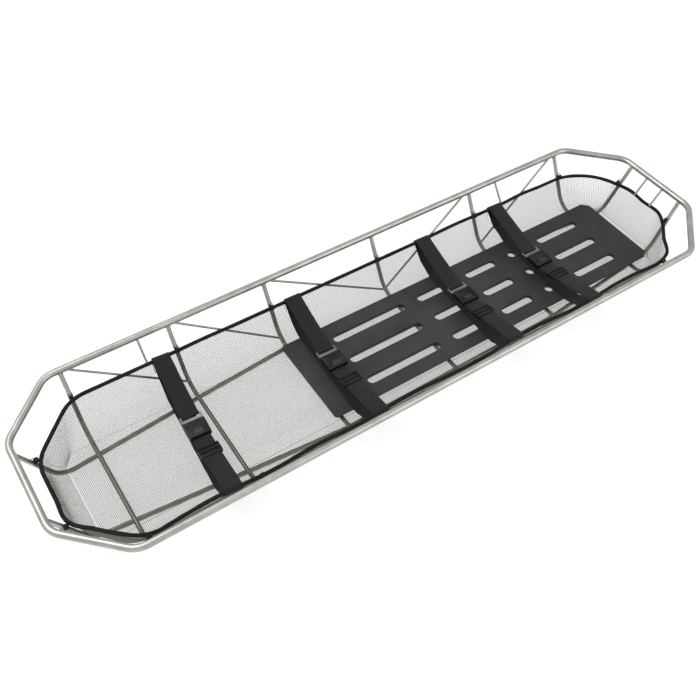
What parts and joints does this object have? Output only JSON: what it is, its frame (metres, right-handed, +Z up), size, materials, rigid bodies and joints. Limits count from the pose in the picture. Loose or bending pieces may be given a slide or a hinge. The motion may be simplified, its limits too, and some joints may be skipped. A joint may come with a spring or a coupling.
{
  "type": "basket stretcher",
  "caption": "Rigid basket stretcher: welded tube frame with ribs and runners, wire mesh liner with a black rim, slotted spine board and buckled restraint straps.",
  "frame": {"origin": "on the ground, under the middle of the stretcher", "axes": "+X towards the patient's head, +Y towards the patient's right, +Z up"},
  "size_m": [2.134, 0.596, 0.1934],
  "materials": {
    "frame_tube": "satin stainless tube, welded",
    "frame_rod": "satin stainless rod",
    "wire_mesh": "fine light grey coated wire mesh",
    "rim_sleeve": "black flexible tube",
    "rim_ties": "black wrapped tie",
    "board": "charcoal moulded plastic, fine texture",
    "webbing": "black woven webbing",
    "buckle_cover": "dark satin steel",
    "hardware": "plated steel",
    "button": "black plastic",
    "spring": "bright spring wire"
  },
  "bodies": {
    "stretcher": {"foot_end_rail": "frame_tube", "head_end_rail": "frame_tube", "head_posts": "frame_rod", "latch_pins": "hardware", "latch_springs": "spring", "mesh_floor": "wire_mesh", "mesh_foot_end": "wire_mesh", "mesh_head_end": "wire_mesh", "mesh_wall_left": "wire_mesh", "mesh_wall_right": "wire_mesh", "rib_1": "frame_tube", "rib_2": "frame_tube", "rib_3": "frame_tube", "rib_4": "frame_tube", "rib_5": "frame_tube", "rib_6": "frame_tube", "rim_rod": "frame_rod", "rim_sleeve": "rim_sleeve", "rim_ties": "rim_ties", "runner_left": "frame_tube", "runner_right": "frame_tube", "side_rail_left": "frame_tube", "side_rail_right": "frame_tube", "spine_board": "board", "strap_1_adjuster": "hardware", "strap_1_buckle_base": "hardware", "strap_1_buckle_cover": "buckle_cover", "strap_1_tongue": "hardware", "strap_1_webbing": "webbing", "strap_2_adjuster": "hardware", "strap_2_buckle_base": "hardware", "strap_2_buckle_cover": "buckle_cover", "strap_2_tongue": "hardware", "strap_2_webbing": "webbing", "strap_3_adjuster": "hardware", "strap_3_buckle_base": "hardware", "strap_3_buckle_cover": "buckle_cover", "strap_3_tongue": "hardware", "strap_3_webbing": "webbing", "strap_4_adjuster": "hardware", "strap_4_buckle_base": "hardware", "strap_4_buckle_cover": "buckle_cover", "strap_4_tongue": "hardware", "strap_4_webbing": "webbing", "strap_posts": "frame_rod", "wall_braces_left": "frame_rod", "wall_braces_right": "frame_rod"},
    "button_1": {"strap_1_button": "button"},
    "latch_1": {"strap_1_latch": "hardware"},
    "button_2": {"strap_2_button": "button"},
    "latch_2": {"strap_2_latch": "hardware"},
    "button_3": {"strap_3_button": "button"},
    "latch_3": {"strap_3_latch": "hardware"},
    "button_4": {"strap_4_button": "button"},
    "latch_4": {"strap_4_latch": "hardware"}
  },
  "joints": [
    {"name": "button_1_press", "type": "slide", "parent": "stretcher", "child": "button_1", "axis": [0, 0, -1], "range_m": [0, 0.0024], "stiffness_N_per_m": 400, "springref_m": -0.004},
    {"name": "latch_1_rock", "type": "hinge", "parent": "stretcher", "child": "latch_1", "pos_m": [-0.626, 0, 0.0837], "axis": [0.998, -0.0628, 0], "range_deg": [0, 11.46]},
    {"name": "button_2_press", "type": "slide", "parent": "stretcher", "child": "button_2", "axis": [0, 0, -1], "range_m": [0, 0.0024], "stiffness_N_per_m": 400, "springref_m": -0.004},
    {"name": "latch_2_rock", "type": "hinge", "parent": "stretcher", "child": "latch_2", "pos_m": [-0.197, 0, 0.0837], "axis": [0.9996, -0.0279, 0], "range_deg": [0, 11.46]},
    {"name": "button_3_press", "type": "slide", "parent": "stretcher", "child": "button_3", "axis": [0, 0, -1], "range_m": [0, 0.0024], "stiffness_N_per_m": 400, "springref_m": -0.004},
    {"name": "latch_3_rock", "type": "hinge", "parent": "stretcher", "child": "latch_3", "pos_m": [0.276, 0, 0.0837], "axis": [0.9997, -0.0262, 0], "range_deg": [0, 11.46]},
    {"name": "button_4_press", "type": "slide", "parent": "stretcher", "child": "button_4", "axis": [0, 0, -1], "range_m": [0, 0.0024], "stiffness_N_per_m": 400, "springref_m": -0.004},
    {"name": "latch_4_rock", "type": "hinge", "parent": "stretcher", "child": "latch_4", "pos_m": [0.574, 0, 0.0837], "axis": [0.9998, -0.0175, 0], "range_deg": [0, 11.46]}
  ],
  "couplings": [
    {"joint": "latch_1_rock", "follows": "button_1_press", "rad_per_m": 83.3},
    {"joint": "latch_2_rock", "follows": "button_2_press", "rad_per_m": 83.3},
    {"joint": "latch_3_rock", "follows": "button_3_press", "rad_per_m": 83.3},
    {"joint": "latch_4_rock", "follows": "button_4_press", "rad_per_m": 83.3}
  ]
}
